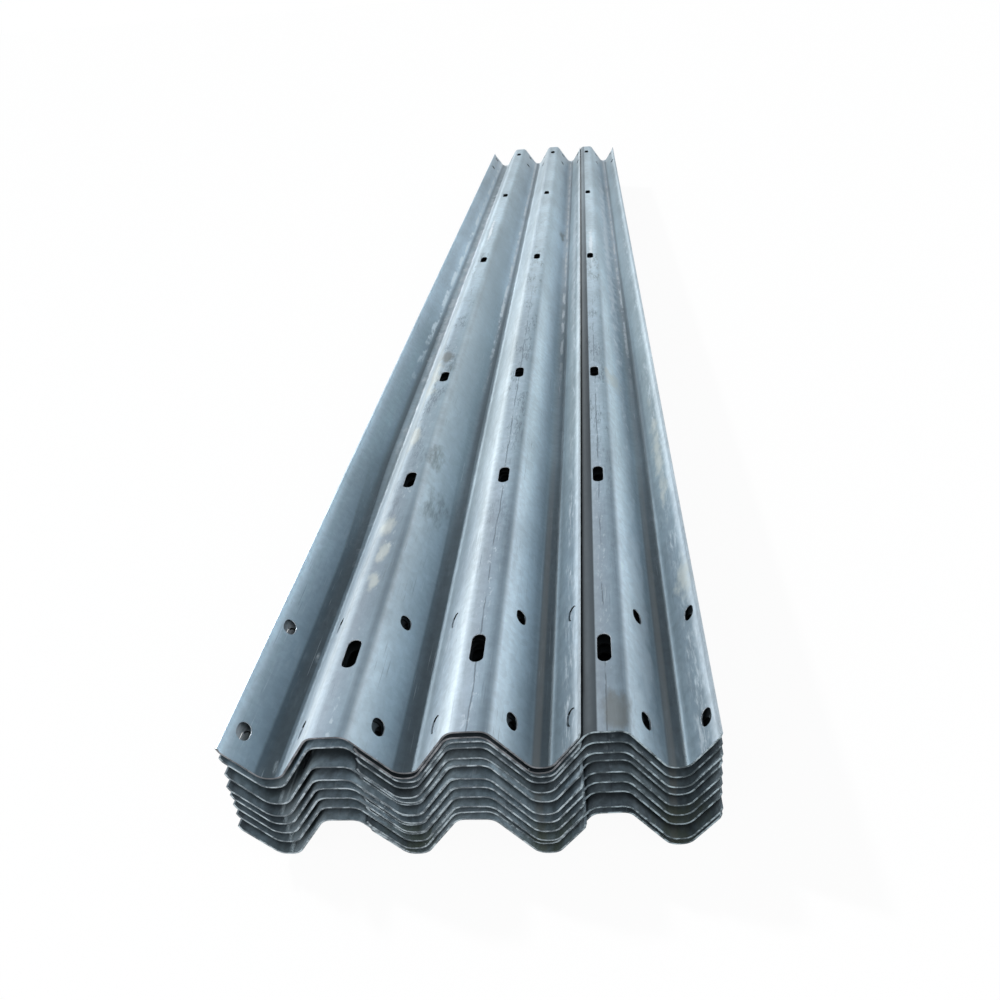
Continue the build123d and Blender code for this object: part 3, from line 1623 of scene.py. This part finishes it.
@dataclass
class Studio:
    """A pale floor, a soft sky and soft lamps."""

    floor_size: float = 160.0
    floor_tone: Tone = (0.90, 0.90, 0.90)
    floor_whiteness: float = 0.95
    key_from: Triple = (-0.65, 0.45, 0.62)
    key_strength: float = 2.4
    key_softness: float = 3.5
    fill_from: Triple = (0.62, -0.35, 0.70)
    fill_strength: float = 0.55
    fill_softness: float = 50.0
    front_place: Triple = (-3.0, -7.0, 3.0)
    front_aim: Triple = (0.0, 0.0, 0.1)
    front_size: float = 4.0
    front_power: float = 90.0

    SKY_TONES = (
        (0.00, (1.00, 1.00, 1.00)),
        (0.10, (1.00, 1.00, 1.00)),
        (0.35, (0.62, 0.64, 0.66)),
        (0.60, (0.34, 0.36, 0.38)),
        (1.00, (0.30, 0.32, 0.34)),
    )

    def floor(self) -> Piece:
        """Lays the floor.

        Returns:
            The floor.
        """
        Workshop.clear()
        bpy.ops.mesh.primitive_plane_add(size=self.floor_size)
        floor = Workshop.settle(bpy.context.active_object, "studio_floor")
        material, graph, shader = start_material("studio_floor_paint")
        shader.inputs["Base Color"].default_value = (*self.floor_tone, 1.0)
        shader.inputs["Roughness"].default_value = 0.9
        shader.inputs["Specular IOR Level"].default_value = 0.0
        path = graph.add("ShaderNodeLightPath").outputs
        seen = graph.maths(
            "MAXIMUM",
            path["Is Camera Ray"],
            graph.maths("MAXIMUM", path["Is Glossy Ray"], path["Is Transmission Ray"]),
        )
        white = graph.add("ShaderNodeEmission")
        white.inputs["Strength"].default_value = 1.0
        both = graph.add("ShaderNodeMixShader")
        graph.feed(both.inputs[0], graph.maths("MULTIPLY", seen, self.floor_whiteness))
        graph.feed(both.inputs[1], shader.outputs[0])
        graph.feed(both.inputs[2], white.outputs[0])
        graph.feed(
            material.node_tree.nodes["Material Output"].inputs["Surface"],
            both.outputs[0],
        )
        floor.data.materials.append(material)
        return floor

    def sky(self) -> None:
        """Makes the world: bright near the horizon and dim overhead."""
        world = bpy.data.worlds.new("studio_sky")
        bpy.context.scene.world = world
        world.use_nodes = True
        graph = Graph(world.node_tree)
        direction = graph.add("ShaderNodeTexCoord").outputs["Generated"]
        level = graph.parts(direction)[2]
        colour = graph.ramp(level, self.SKY_TONES)
        backdrop = world.node_tree.nodes["Background"]
        graph.feed(backdrop.inputs["Color"], colour)
        backdrop.inputs["Strength"].default_value = 1.0

    @staticmethod
    def hang(
        name: str, kind: str, aim: Vector, power: float, **settings: object
    ) -> Piece:
        """Hangs one lamp.

        Args:
            name: The lamp's name.
            kind: The lamp's type.
            aim: The direction it shines in.
            power: Its strength.
            settings: More of its properties.

        Returns:
            The lamp.
        """
        data = bpy.data.lights.new(name, kind)
        data.energy = power
        for label, value in settings.items():
            setattr(data, label, value)
        lamp = bpy.data.objects.new(name, data)
        lamp.rotation_euler = aim.to_track_quat("-Z", "Y").to_euler()
        bpy.context.scene.collection.objects.link(lamp)
        return lamp

    def build(self) -> None:
        """Sets up the floor, the sky and the lamps."""
        self.floor()
        self.sky()
        for name, come_from, power, softness in (
            ("key_lamp", self.key_from, self.key_strength, self.key_softness),
            ("fill_lamp", self.fill_from, self.fill_strength, self.fill_softness),
        ):
            aim, angle = -Vector(come_from), math.radians(softness)
            self.hang(name, "SUN", aim, power, angle=angle)
        aim = Vector(self.front_aim) - Vector(self.front_place)
        front = self.hang(
            "front_lamp",
            "AREA",
            aim,
            self.front_power,
            shape="SQUARE",
            size=self.front_size,
        )
        front.location = self.front_place
        view = bpy.context.scene.view_settings
        view.view_transform = "Standard"
        LOG.info("studio is lit")


@dataclass
class Viewpoint:
    """The camera: a little right of the bundle's middle, before its near end."""

    place: Triple = (0.2100, -2.8384, 1.0580)
    down: float = 34.76
    left: float = 2.76
    roll: float = -4.58
    focal: float = 0.7822
    middle: tuple[float, float] = (0.5776, 0.5176)
    sensor: float = 36.0

    def build(self) -> Piece:
        """Makes the camera and gives it to the scene.

        Returns:
            The camera.
        """
        data = bpy.data.cameras.new("camera")
        data.sensor_width = self.sensor
        data.lens = self.focal * self.sensor
        data.shift_x = 0.5 - self.middle[0]
        data.shift_y = self.middle[1] - 0.5
        data.clip_start, data.clip_end = 0.05, 400.0
        camera = bpy.data.objects.new("camera", data)
        turn = (
            Matrix.Rotation(math.radians(self.left), 4, "Z")
            @ Matrix.Rotation(math.radians(90.0 - self.down), 4, "X")
            @ Matrix.Rotation(math.radians(self.roll), 4, "Z")
        )
        camera.matrix_world = Matrix.Translation(self.place) @ turn
        bpy.context.scene.collection.objects.link(camera)
        bpy.context.scene.camera = camera
        LOG.info("camera at %s", self.place)
        return camera


def main() -> None:
    """Builds the scene in order."""
    logging.basicConfig(level=logging.INFO, format="%(message)s")
    Viewpoint().build()
    Studio().build()
    profile = WaveProfile()
    effects = Effects(profile)
    zinc = BareZinc().make(effects)
    stack = BeamStack(profile)
    stack.gather()
    stack.build(effects, zinc)


if __name__ == "__main__":
    main()
